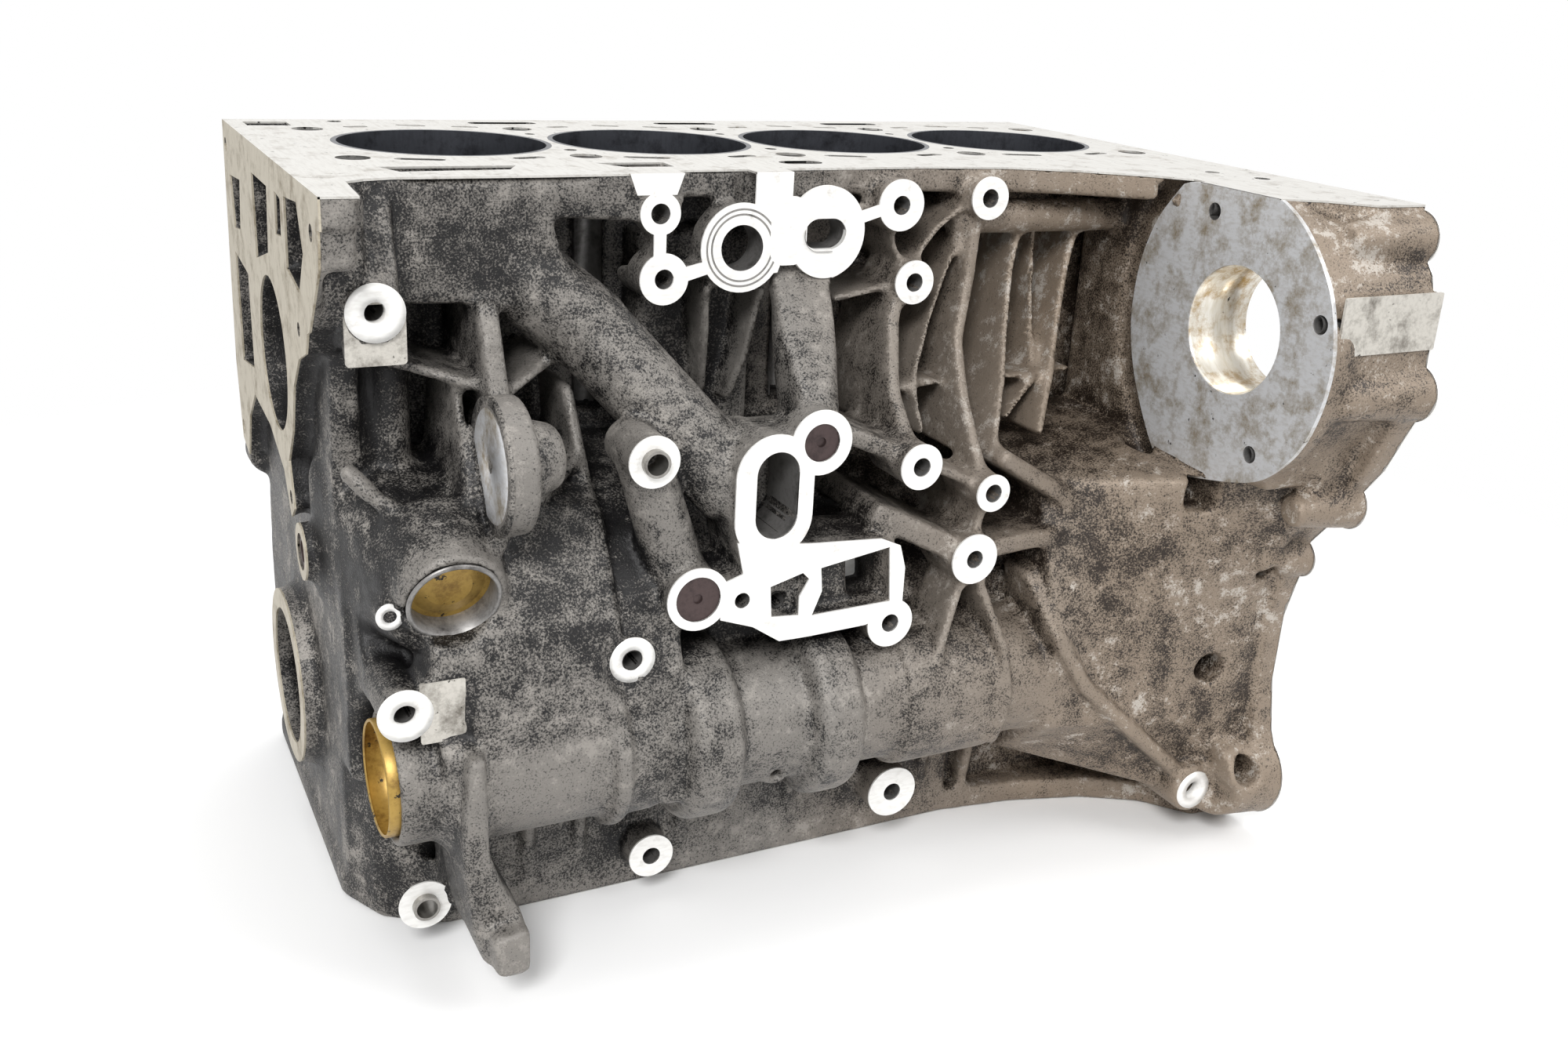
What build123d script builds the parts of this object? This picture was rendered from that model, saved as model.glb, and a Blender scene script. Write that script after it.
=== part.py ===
from build123d import *
import os

# Four-cylinder diesel crankcase. Origin: axis of cylinder 1 on the deck face.
# X runs along the crankshaft to the flywheel end, Y from the near side to the far side, Z up.

# Cylinders
BORE_R = 42.0
BORE_PITCH = 91.0
CYLINDERS = 4
LINER_WALL = 2.2
LINER_LENGTH = 148.0
LINER_STEP = 1.5
JACKET_R = 57.0

bore_x = [i * BORE_PITCH for i in range(CYLINDERS)]
head_bolt_x = [(i - 0.5) * BORE_PITCH for i in range(CYLINDERS + 1)]

# Overall planes
FRONT_X = -75.0
REAR_X = bore_x[-1] + 63.0
FLOOR_Z = -301.0
DECK_T = 11.0
FAR_Y = 82.0
NEAR_Y = -84.0
PLATE_T = 11.0
RAIL_T = 12.0
RAIL_NEAR_Y = -107.0
RAIL_FAR_Y = 98.0

# Crankshaft line
CRANK_HEIGHT = 72.0
CRANK_Z = FLOOR_Z + CRANK_HEIGHT
MAIN_R = 32.0
WEB_T = 21.0
REAR_MAIN_X = REAR_X - 27.0
CAP_HALF = 54.0
CAP_H = 50.0
CAP_CLEAR = 0.1
CAP_BOLT_Y = CAP_HALF - 11.0
CAP_BOLT_R = 5.5
CAP_BOLT_GRIP = 50.0
CAP_HEAD_R = 9.0
CAP_HEAD_H = 10.0
SEAL_R = 30.0
SEAL_BOSS_R = 38.5
BAY_TOP_Z = -150.0
BAY_NEAR_Y = -86.0
BAY_FAR_Y = 74.0

main_x = head_bolt_x[:-1] + [REAR_MAIN_X]

# Balance shaft tunnel on the near side
TUNNEL_Y = -124.0
TUNNEL_Z = CRANK_Z + 12.5
TUNNEL_R = 30.0
TUNNEL_BORE_R = 24.0
TUNNEL_START = -62.0
TUNNEL_END = REAR_X - 36.0
TUNNEL_PLUG_R = 26.5
PLUG_SEAT = 12.0
PLUG_WALL = 1.6

# Machined face planes on the near side, and the jacket wall that the ribs stand on
UPPER_FACE_Y = -96.0
LOWER_FACE_Y = -145.0
WALL_Y = -56.0

# High-pressure pump flange at the rear
PUMP_X = REAR_X - 53.0
PUMP_Y = -170.0
PUMP_Z = -55.4
FLANGE_R = 78.0
FLANGE_Y = PUMP_Y - 16.0
FLANGE_Z = PUMP_Z - 6.6
PUMP_BORE_R = 25.0
PUMP_FLAT_Z = -118.0
CHAIN_DEPTH = 9.0

# Coolant port on the near side, which opens outwards and down
PORT_CENTRE = (-36.5, -143.0, -141.5)
PORT_AXIS = (0.0, -0.94, -0.34)
PORT_R = 15.5
PORT_PLUG_DEPTH = 13.0

# Head bolts and other fasteners
HEAD_BOLT_Y = 46.0
HEAD_BOLT_R = 6.5
HEAD_BOLT_DEPTH = 105.0
M8_R = 3.9
GALLERY_UPPER = (106.0, -95.0, 7.6)
GALLERY_LOWER = (56.5, -153.0, 9.2)
GALLERY_DEPTH = 12.0
FRONT_PLUG = (-59.0, -148.5, 7.4)
FRONT_PLUG_DEPTH = 9.0
SLEEVE_R = 5.2
SLEEVE_WALL = 1.1
SLEEVE_PROUD = 3.0
SLEEVE_DEPTH = 9.0
FAR_PIN = (-68.0, -14.0)
FAR_PIN_R = 4.0
FAR_PIN_PROUD = 22.0
FAR_PIN_DEPTH = 12.0

INWARD = (0, 1, 0)
REARWARD = (1, 0, 0)
DOWN = (0, 0, -1)


def polygon(*points):
    """Flat face with straight sides."""
    return make_face(Polyline(*points, close=True))


def near_prism(shape, face_y, depth):
    """Solid from an (x, z) shape on a near-side plane, carried inwards."""
    return extrude(Plane.XZ.offset(-face_y) * shape, depth, dir=INWARD)


def cross_prism(points, x0, x1):
    """Solid between two planes across the crankshaft, from a (y, z) outline."""
    return extrude(Plane.YZ.offset(x0) * polygon(*points), x1 - x0, dir=REARWARD)


def drop(shape, top_z, depth):
    """Solid from an (x, y) shape, carried down from a level."""
    return extrude(Pos(0, 0, top_z) * shape, depth, dir=DOWN)


def rod(start, end, r_start, r_end=None):
    """Round bar or cone from one point to another."""
    a, b = Vector(*start), Vector(*end)
    frame = Plane(origin=a, z_dir=b - a)
    if r_end is None:
        return Solid.make_cylinder(r_start, (b - a).length, frame)
    return Solid.make_cone(r_start, r_end, (b - a).length, frame)


def boss(x, z, radius, face_y, depth):
    """Round bolt boss behind its machined face."""
    return rod((x, face_y, z), (x, face_y + depth, z), radius)


def hole(x, z, radius, face_y, depth):
    """Drilled hole from a near-side face inwards."""
    return rod((x, face_y - 1, z), (x, face_y + depth, z), radius)


def rib(points, inner_y, width):
    """Cast rib that stands on the wall at inner_y and has its crest along the points."""
    parts = []
    for (x0, y0, z0), (x1, y1, z1) in zip(points, points[1:]):
        side = polygon((x0, y0, z0), (x1, y1, z1), (x1, inner_y, z1), (x0, inner_y, z0))
        across = Vector(z0 - z1, 0, x1 - x0).normalized()
        parts.append(extrude(side, width / 2, dir=across, both=True))
    for x, y, z in points[1:-1]:
        parts.append(rod((x, y, z), (x, inner_y, z), width / 2))
    return parts


def stadium(x, z, width, height):
    """Slot outline, long in either direction."""
    shape = SlotOverall(width, height) if width >= height else Rot(0, 0, 90) * SlotOverall(height, width)
    return Pos(x, z) * shape


def deck():
    """Top plate with the gasket face: straight at the far side, stepped at the near side."""
    outline = polygon((FRONT_X, FAR_Y), (FRONT_X, -137), (-62, -137), (-60, -105), (-53, -100), (-43, -97), (13, -97),
                      (43, -96), (71, -88), (180, -86), (217, -90), (245, -102), (268, -117), (PUMP_X, -131),
                      (PUMP_X, -185), (298, -191), (312, -205), (REAR_X, -206), (REAR_X, FAR_Y))
    beam = rod((196, -80, -22), (PUMP_X + 5, -84, -22), 7.5)
    lip = near_prism(polygon((10, -8), (72, -8), (60, -19), (10, -16)), -95, 30)
    return [drop(outline, 0, DECK_T), beam, lip]


def jacket():
    """Water-jacket walls, scalloped round each cylinder, and the straight wall between them."""
    walls = [drop(Pos(x, 0) * Circle(JACKET_R), 0, -BAY_TOP_Z) for x in bore_x]
    middle = (bore_x[0] + bore_x[-1]) / 2
    core = Pos(middle, 0) * Rectangle(bore_x[-1] + 2 * JACKET_R, 2 * HEAD_BOLT_Y + 6)
    return walls + [drop(core, 0, -BAY_TOP_Z)]


def skirt():
    """Lower crankcase: shoulder below the jacket, near wall behind the tunnel, far wall and pan rail."""
    section = [(-52, -112), (-88, -138), (-116, -176), (-118, -200), (-108, CRANK_Z - 11), (-98, FLOOR_Z + 39),
               (-98, FLOOR_Z), (88, FLOOR_Z), (84, FLOOR_Z + 39), (84, -190), (74, -150), (52, -128)]
    rail = polygon((-69, 80), (-69, -70), (-58, -92), (-40, -104), (-34, RAIL_NEAR_Y), (204, RAIL_NEAR_Y),
                   (240, -112), (275, -122), (300, -136), (316, -156), (REAR_X, -158), (REAR_X, RAIL_FAR_Y),
                   (-58, RAIL_FAR_Y))
    return [cross_prism(section, -64, REAR_X), drop(rail, FLOOR_Z + RAIL_T, RAIL_T)]


def front_plate():
    """Front flange round the ports, bosses of the plug and the crank seal, and the wall behind them."""
    flange = [(FAR_Y, 0), (-135, 0), (-133, -20), (-121, -33), (-107, -46), (-98, -60), (-82, -66), (-67, -80),
              (-58, -100), (-44, -116), (-50, -134), (-42, -140), (-30, -124), (0, -114), (40, -112), (62, -128),
              (74, -150), (90, -146), (96, -110), (90, -60)]
    wall = [(78, -2), (-118, -2), (-112, -34), (-96, -60), (-88, -110), (-96, -170), (-100, CRANK_Z - 30),
            (-100, FLOOR_Z + 14), (-88, FLOOR_Z), (74, FLOOR_Z), (86, FLOOR_Z + 14), (86, -200), (76, -150),
            (90, -120)]
    corner = [(-135, -1), (-132, -24), (-108, -50), (-80, -60), (-80, -1)]
    y, z, r = FRONT_PLUG
    seal = rod((FRONT_X, 0, CRANK_Z), (FRONT_X + 10, 0, CRANK_Z), SEAL_BOSS_R, SEAL_BOSS_R + 3)
    pump = rod((FRONT_X, -22.6, -78.2), (FRONT_X + 12, -22.6, -78.2), 39)
    far = [rod((-64, 78, -152), (-64, 94, -152), 11), rod((-62, 90, -152), (-62, 111, -152), 8.5)]
    return [cross_prism(flange, FRONT_X, FRONT_X + PLATE_T), cross_prism(wall, FRONT_X + 8, 1 - JACKET_R),
            cross_prism(corner, FRONT_X, FRONT_X + 13), seal, pump,
            rod((FRONT_X, y, z), (FRONT_X + 14, y, z), r + 4, r + 6)] + far


def port_housing():
    """Coolant passage that sweeps from the front wall out to its round port."""
    x, y, z = PORT_CENTRE
    root = Plane.XZ.offset(60) * (Pos(-50, -139) * RectangleRounded(44, 76, 16))
    mouth = Plane.XZ.offset(132) * (Pos(x, z - 2) * RectangleRounded(45, 45, 20))
    rim = rod((x, y, z), (x, y + 34, z + 12), PORT_R + 4.6, PORT_R + 7)
    return [loft([root, mouth]), rim, boss(-55, -149, 5, -130, 40)]


def front_casing():
    """Coolant pump housing and its outlet behind the front flange, on the near side."""
    upper = [(-50, -2), (-98, -2), (-110, -30), (-112, -58), (-96, -62), (-50, -62)]
    top = polygon((-57, -2), (13, -2), (16, -18), (20, -30), (-4, -50), (-16, -46), (-57, -45))
    parts = [cross_prism(upper, -58, -44), near_prism(top, -97, 45)]
    parts += [near_prism(polygon((-66, -58), (-44, -58), (-44, -128), (-66, -128)), -80, 40)]
    parts += [rod((-43, -80, -62), (-43, -80, -126), 7.5), rod((-57, -76, -62), (-57, -80, -112), 8)]
    section = [(-60, -108), (-98, -112), (-118, -120), (-134, -136), (-145, -158), (-152, -184), (-154, TUNNEL_Z),
               (-110, TUNNEL_Z - 24), (-60, -200)]
    slimmer = [(-60, -112), (-98, -118), (-120, -132), (-136, -152), (-146, -180), (-151, TUNNEL_Z),
               (-110, TUNNEL_Z - 22), (-60, -200)]
    return parts + [cross_prism(section, -46, 26), cross_prism(slimmer, 20, 52)]


def tensioner_disc():
    """Round machined disc that faces the front, with its hub and the webs that carry it."""
    x, y, z, r = -20.0, -132.0, -96.0, 25.5
    parts = [rod((x, y, z), (x + 12, y, z), r), rod((x + 12, y + 4, z), (x + 26, y + 6, z), 16, 12)]
    parts += [rod((x + 10, y + 8, z), (x + 10, WALL_Y, z - 2), 9)]
    parts += rib([(-11, -101, -44), (-11, -108, -60), (-10, -116, -84)], WALL_Y, 9)
    parts += rib([(-58, -97, -62), (-40, -98, -67), (-17, -106, -74)], WALL_Y, 5)
    parts += rib([(-22, -97, -70), (-23, -110, -92), (-25, -128, -118)], WALL_Y, 4.5)
    parts += rib([(-10, -110, -80), (4, -101, -74), (17, -93, -69)], WALL_Y, 5)
    parts += rib([(23, -90, -80), (25, -106, -112), (25, -128, -132)], WALL_Y, 5.5)
    parts += rib([(0, -124, -116), (12, -112, -112), (24, -104, -106)], WALL_Y, 5)
    parts += rib([(-14, -130, -118), (-19, -140, -126)], -90, 8)
    return parts


def tube(x0, x1, radius, end_radius=None):
    """Stretch of the balance shaft tunnel's outside."""
    return rod((x0, TUNNEL_Y, TUNNEL_Z), (x1, TUNNEL_Y, TUNNEL_Z), radius, end_radius)


def balance_tunnel():
    """Tube for the balance shaft with the raised bands over its bearings."""
    band = TUNNEL_R + 9
    parts = [tube(TUNNEL_START, TUNNEL_END, TUNNEL_R), tube(-37, -31, TUNNEL_R + 3.5), tube(20, 27, TUNNEL_R + 4),
             tube(27, 42, TUNNEL_R + 1.5), tube(150, 200, TUNNEL_R + 4)]
    for x0, x1 in ((50, 74), (105, 128)):
        parts += [tube(x0, x0 + 4, band - 5, band), tube(x0 + 4, x1 - 4, band), tube(x1 - 4, x1, band, band - 5)]
    return parts


def mount_lug():
    """Downward lug below the front end of the tunnel, tied to the tube by a flat rib."""
    stem = polygon((-37, -188), (-31, -188), (-30, -236), (-25, -252), (-19, -262), (-19, FLOOR_Z + 15),
                   (-32, FLOOR_Z + 12), (-37, FLOOR_Z + 30), (-41, -238))
    toe = polygon((-33, -266), (-18, -264), (-18, FLOOR_Z + 15), (-31, FLOOR_Z + 12))
    return [near_prism(stem, -162, 60), near_prism(toe, -172, 64)]


def rear_housing():
    """Timing chest behind the pump flange, flared wall and gearbox flange with its bolt lobes."""
    chest = [(-60, -2), (-186, -2), (-204, -11), (-216, -26), (-221, -42), (-222, -62), (-219, -80), (-204, -101),
             (-196, PUMP_FLAT_Z), (-140, PUMP_FLAT_Z), (-60, -122)]
    outer = [(FAR_Y, 0), (-203, 0), (-213, -10), (-212, -28), (-219, -42), (-221, -64), (-222, -84), (-212, -108),
             (-197, -130), (-180, -152), (-178, -168), (-173, -190), (-173, -222), (-178, -246), (-186, -262),
             (-176, FLOOR_Z + 12), (-158, FLOOR_Z), (140, FLOOR_Z), (160, -280), (160, -240), (150, -120),
             (120, -50), (96, -20)]
    neck = [(-60, -116), (-204, -104), (-196, -128), (-176, -156), (-170, -190), (-170, FLOOR_Z + 40),
            (-172, FLOOR_Z + 11), (-60, FLOOR_Z + 11)]
    small = [(-60, -112), (-128, -128), (-138, -150), (-154, -190), (-154, -236), (-120, -262), (-60, -262)]
    wide = [(-60, -112), (-200, -114), (-188, -140), (-172, -180), (-170, -238), (-168, FLOOR_Z + 13),
            (-60, FLOOR_Z + 13)]
    foot = rod((308, -168, FLOOR_Z + 31), (REAR_X, -168, FLOOR_Z + 31), 19, 22)
    lobes = [rod((REAR_X - reach, y, z), (REAR_X, y, z), r - 4, r)
             for y, z, r, reach in ((-205, -13, 11, 40), (-218, -73, 12, 44), (-196, -128, 11, 34), (-176, -160, 9, 26))]
    pad = cross_prism([(-212, -31), (-221.5, -32), (-221.5, -54), (-212, -55)], PUMP_X + 2, REAR_X)
    ends = [Wire.make_polygon([(x, y, z) for y, z in points]) for x, points in ((222, small), (REAR_X - 16, wide))]
    flare = Solid.make_loft(ends, ruled=True)
    return [cross_prism(chest, PUMP_X, REAR_X), cross_prism(outer, REAR_X - PLATE_T, REAR_X),
            cross_prism(neck, REAR_X - 24, REAR_X), flare, foot, pad] + lobes


def pump_flange():
    """Raised round flange for the high-pressure pump, cut off flat below, at the body's side and by the deck."""
    disc = rod((PUMP_X - 3, FLANGE_Y, FLANGE_Z), (PUMP_X + 12, FLANGE_Y, FLANGE_Z), FLANGE_R)
    limits = [(-100, 0), (-185, 0), (-203, -10.5), (-216, -26.5), (-222, -40), (-223.5, -62), (-219.5, -80),
              (-204, -101), (-196, PUMP_FLAT_Z), (-100, PUMP_FLAT_Z)]
    return [disc & cross_prism(limits, PUMP_X - 10, PUMP_X + 20)]


def upper_flange():
    """Oil cooler face under the deck: ring port, oblong port, bolt bosses and the necks between them."""
    face = Pos(92, -29) * Circle(17.5) + stadium(128, -24.5, 33, 37)
    for x, z, r in ((57.5, -15, 8.2), (59.5, -40, 10), (163, -14, 10.5)):
        face += Pos(x, z) * Circle(r)
    face += polygon((55, -33), (60, -33), (60, -17), (55, -17)) + polygon((62, -43), (80, -38), (80, -33), (62, -37))
    face += polygon((144, -21), (158, -17), (158, -12), (144, -16)) + polygon((97, -20), (113, -20), (113, 0), (97, 0))
    face += polygon((45, 0), (67, 0), (64, -8), (48, -8)) + polygon((100, -40), (120, -38), (120, -10), (100, -10))
    return [near_prism(face, UPPER_FACE_Y, 14)]


def lower_flange():
    """Oil filter face above the balance shaft: tall coolant port, two plugged galleries and a filter pocket."""
    face = stadium(87, -115, 33, 50)
    face += polygon((72, -132), (104, -136), (136, -138), (145, -142), (148, -152), (148, -170), (131, -175),
                    (105, -176), (92, -176), (80, -168), (66, -163), (66, -148), (75, -145))
    for x, z, r in ((106, -95, 13), (56.5, -153, 12.8), (143, -176, 10.5)):
        face += Pos(x, z) * Circle(r)
    return [near_prism(face, LOWER_FACE_Y, 34)]


def ducts():
    """Cored passages that show outside: coolant duct, oil riser and the column between two bosses."""
    elbow = (30, -92, -58)
    parts = [rod((-6, -78, -28), elbow, 17), rod(elbow, (80, -128, -118), 16.5), Pos(*elbow) * Sphere(17)]
    parts += [rod((124, -83, -24), (108, -128, -98), 12.5, 13.5)]
    parts += [rod((38, -130, -98), (56, -128, -153), 10.5, 12)]
    return parts


def near_bosses():
    """Bolt bosses for the parts that hang on the near side."""
    parts = [boss(x, z, r, UPPER_FACE_Y, 30)
             for x, z, r in ((57.5, -15, 8.2), (59.5, -40, 10), (163, -14, 10.5), (206, -12, 9), (172, -46, 9.2))]
    parts += [boss(x, z, r, LOWER_FACE_Y, 30)
              for x, z, r in ((37.3, -96, 10), (30, -174, 9.2), (-56.5, -180, 9), (152, -109.5, 9.5),
                              (188, -124.5, 8), (182, -153, 11), (259, -155, 10))]
    parts += [boss(-54, -43, 9.2, -115, 26), near_prism(Pos(-54, -51) * Rectangle(18.5, 16), -113.5, 20)]
    parts += [near_prism(Pos(-42, -179) * Rectangle(15, 24), -148, 22)]
    parts += [boss(164, -271, 12, -125, 24), boss(50, -280, 9.8, -120, 20), boss(-46, -278, 10.4, -122, 30)]
    parts += [boss(302, -275, 12.5, -170, 34), rod((92, -150, -235), (94, -120, -228), 6, 9)]
    parts += [near_prism(Pos(45, -233) * Rectangle(9, 7), -153, 20)]
    return parts


def ribs():
    """Rib network between the jacket wall, the bosses and the shoulder."""
    on_wall = (
        (((169, -92, -46), (163, -98, -60), (156, -114, -86), (154, -136, -106)), 7),
        (((200, -86, -30), (186, -92, -60), (171, -106, -86), (168, -124, -108)), 3.4),
        (((206, -90, -16), (203, -92, -47), (196, -98, -71), (192, -112, -91), (188, -136, -116)), 6),
        (((237, -80, -18), (228, -87, -43), (221, -97, -65), (212, -112, -88), (196, -134, -116)), 4),
        (((247, -74, -20), (243, -85, -67), (235, -100, -88)), 3.4),
        (((268, -80, -18), (259, -85, -45), (250, -95, -68), (240, -108, -90), (227, -122, -112)), 4.4),
        (((217, -106, -88), (258, -100, -88)), 3.6), (((233, -106, -90), (213, -114, -106)), 3.4),
        (((158, -106, -89), (187, -100, -89)), 4), (((136, -92, -53), (166, -92, -48)), 4),
        (((162, -92, -22), (165, -92, -33), (172, -92, -42)), 3.6), (((200, -92, -14), (185, -92, -25), (175, -92, -38)), 3.6),
        (((81, -90, -42), (73, -108, -82)), 3.2), (((105, -90, -46), (95, -98, -71), (83, -110, -84)), 3.2),
    )
    on_shoulder = (
        (((122, -136, -96), (150, -138, -108)), 8), (((156, -138, -110), (186, -140, -123)), 5),
        (((136, -138, -130), (178, -142, -151)), 11), (((186, -142, -152), (216, -142, -150), (256, -142, -154)), 9),
        (((196, -138, -112), (226, -140, -130), (254, -142, -150)), 8), (((188, -142, -126), (183, -142, -150)), 5),
    )
    on_tunnel = (
        (((180, -143, -160), (168, -150, -186), (160, -156, -205), (150, -158, -222)), 5),
        (((186, -143, -160), (195, -157, -192), (197, -160, -214), (194, -156, -238)), 5),
        (((218, -136, -166), (223, -158, -191), (236, -163, -214), (262, -166, -238), (298, -168, -270)), 7),
    )
    parts = []
    for group, inner_y in ((on_wall, WALL_Y), (on_shoulder, -84), (on_tunnel, -118)):
        for points, width in group:
            parts += rib(points, inner_y, width)
    return parts


def rail_ribs():
    """Short upright ribs between the tunnel and the pan rail, and the posts and beam of the far side."""
    gusset = [(-96, -236), (-116, -236), (RAIL_NEAR_Y + 1, FLOOR_Z + 4), (-96, FLOOR_Z + 4)]
    post = [(48, -8), (78, -12), (78, -120), (94, -170), (96, FLOOR_Z + 4), (80, FLOOR_Z + 4), (48, -130)]
    parts = [cross_prism(gusset, x - 3, x + 3) for x in (0, 22, 68, 84, 120, 150, 190, 215)]
    parts += [cross_prism(post, x - 4, x + 4) for x in main_x]
    parts += [cross_prism([(48, -60), (70, -60), (70, -68), (48, -68)], -40, REAR_X - 20)]
    return parts


def crank_space():
    """Crank bays between the bearing walls, open to the sump, with the bearing line and the cap slots."""
    bay = [(BAY_NEAR_Y, FLOOR_Z - 1), (BAY_NEAR_Y, -240), (-76, -190), (-62, BAY_TOP_Z), (62, BAY_TOP_Z),
           (72, -190), (BAY_FAR_Y, FLOOR_Z - 1)]
    slot_h = CRANK_Z - FLOOR_Z + 1
    cuts = [cross_prism(bay, left + WEB_T / 2, right - WEB_T / 2) for left, right in zip(main_x, main_x[1:])]
    cuts += [Pos(x, 0, CRANK_Z - slot_h / 2) * Box(WEB_T + 0.2, 2 * (CAP_HALF + CAP_CLEAR), slot_h) for x in main_x]
    cuts += [rod((FRONT_X + 8, 0, CRANK_Z), (REAR_X + 1, 0, CRANK_Z), MAIN_R)]
    cuts += [rod((FRONT_X - 1, 0, CRANK_Z), (FRONT_X + 10, 0, CRANK_Z), SEAL_R)]
    cuts += [rod((x, side * CAP_BOLT_Y, CRANK_Z - 1), (x, side * CAP_BOLT_Y, CRANK_Z + CAP_BOLT_GRIP), CAP_BOLT_R)
             for x in main_x for side in (-1, 1)]
    return cuts


def bore_cuts():
    """Seats of the iron liners and the open space below them."""
    cuts = [drop(Pos(x, 0) * Circle(BORE_R + LINER_WALL), 1, LINER_LENGTH + 1) for x in bore_x]
    return cuts + [drop(Pos(x, 0) * Circle(BORE_R + LINER_STEP), 1 - LINER_LENGTH, 20) for x in bore_x]


def deck_holes():
    """Head bolt holes, coolant slots and oil drains of the gasket face."""
    cuts = [drop(Pos(x, side * HEAD_BOLT_Y) * Circle(HEAD_BOLT_R), 1, HEAD_BOLT_DEPTH)
            for x in head_bolt_x for side in (-1, 1)]
    for x in bore_x:
        for dx, dy, length in ((-22, -52, 19), (21, -50, 14), (-24, 54, 11), (1, 59, 13), (24, 54, 12)):
            turn = 14 if dx * dy > 0 else -14
            cuts.append(drop(Pos(x + dx, dy) * Rot(0, 0, -turn) * SlotOverall(length, 5), 1, 15))
    for x in head_bolt_x[1:-1]:
        cuts += [drop(Pos(x, -27) * Circle(2.6), 1, 15), drop(Pos(x, 27) * Circle(2.2), 1, 15)]
        cuts += [drop(Pos(x, 69) * SlotOverall(32, 7), 1, 20)]
    drains = [polygon((-42, -71), (9, -71), (4, -81), (-37, -84)), polygon((42, -66), (70, -66), (70, -78), (50, -78)),
              polygon((-68, 72), (-50, 72), (-50, 58), (-68, 58)), Pos(129, -70) * SlotOverall(19, 9)]
    cuts += [drop(shape, 1, 40) for shape in drains]
    cuts += [drop(Pos(x, y) * Circle(r), 1, 20) for x, y, r in ((-29, 74, 3), (309, -113, 3.2), (319, -133, 3.4))]
    return cuts


def front_ports():
    """Openings of the front flange: coolant and oil ports, pump volute and bolt holes."""
    ports = [[(70, -22), (40, -20), (48, -42), (66, -44)], [(6, -12), (-32, -12), (-26, -38), (6, -46)],
             [(-50, -11), (-62, -12), (-60, -26), (-48, -27)], [(-70, -10), (-96, -8), (-104, -24), (-92, -40), (-68, -36)],
             [(70, -55), (34, -58), (35, -99), (70, -104)]]
    cuts = [cross_prism(outline, FRONT_X - 1, FRONT_X + 24) for outline in ports]
    cuts.append(rod((FRONT_X - 1, -22.6, -78.2), (FRONT_X + 16, -22.6, -78.2), 30.5))
    for y, z, r in ((-121, -14, 3), (76, -10, 3), (-86, -54, 2.6), (-44, -131, 2.8), (86, -140, 3.5)):
        cuts.append(rod((FRONT_X - 1, y, z), (FRONT_X + 14, y, z), r))
    y, z, r = FRONT_PLUG
    cuts.append(rod((FRONT_X - 1, y, z), (FRONT_X + FRONT_PLUG_DEPTH, y, z), r))
    x, z = FAR_PIN
    cuts.append(rod((x, FAR_Y - FAR_PIN_DEPTH, z), (x, FAR_Y + 20, z), FAR_PIN_R))
    return cuts


def timing_space():
    """Chain space of the rear chest, open to the rear, and the pump bore through its front wall."""
    inner = [(-112, -14), (-196, -14), (-214, -60), (-196, -106), (-170, -150), (-60, -280), (50, -280), (50, -190),
             (-70, -140)]
    chest = [(-112, -14), (-196, -14), (-214, -60), (-196, -106), (-120, -112)]
    cuts = [cross_prism(inner, REAR_X - CHAIN_DEPTH, REAR_X + 1), cross_prism(chest, PUMP_X + 12, REAR_X + 1)]
    cuts.append(rod((PUMP_X - 10, PUMP_Y, PUMP_Z), (PUMP_X + 20, PUMP_Y, PUMP_Z), PUMP_BORE_R))
    for y, z in ((-145, -9), (-188, -103), (-213, -43)):
        cuts.append(rod((PUMP_X - 10, y, z), (PUMP_X + 10, y, z), M8_R))
    return cuts


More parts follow.
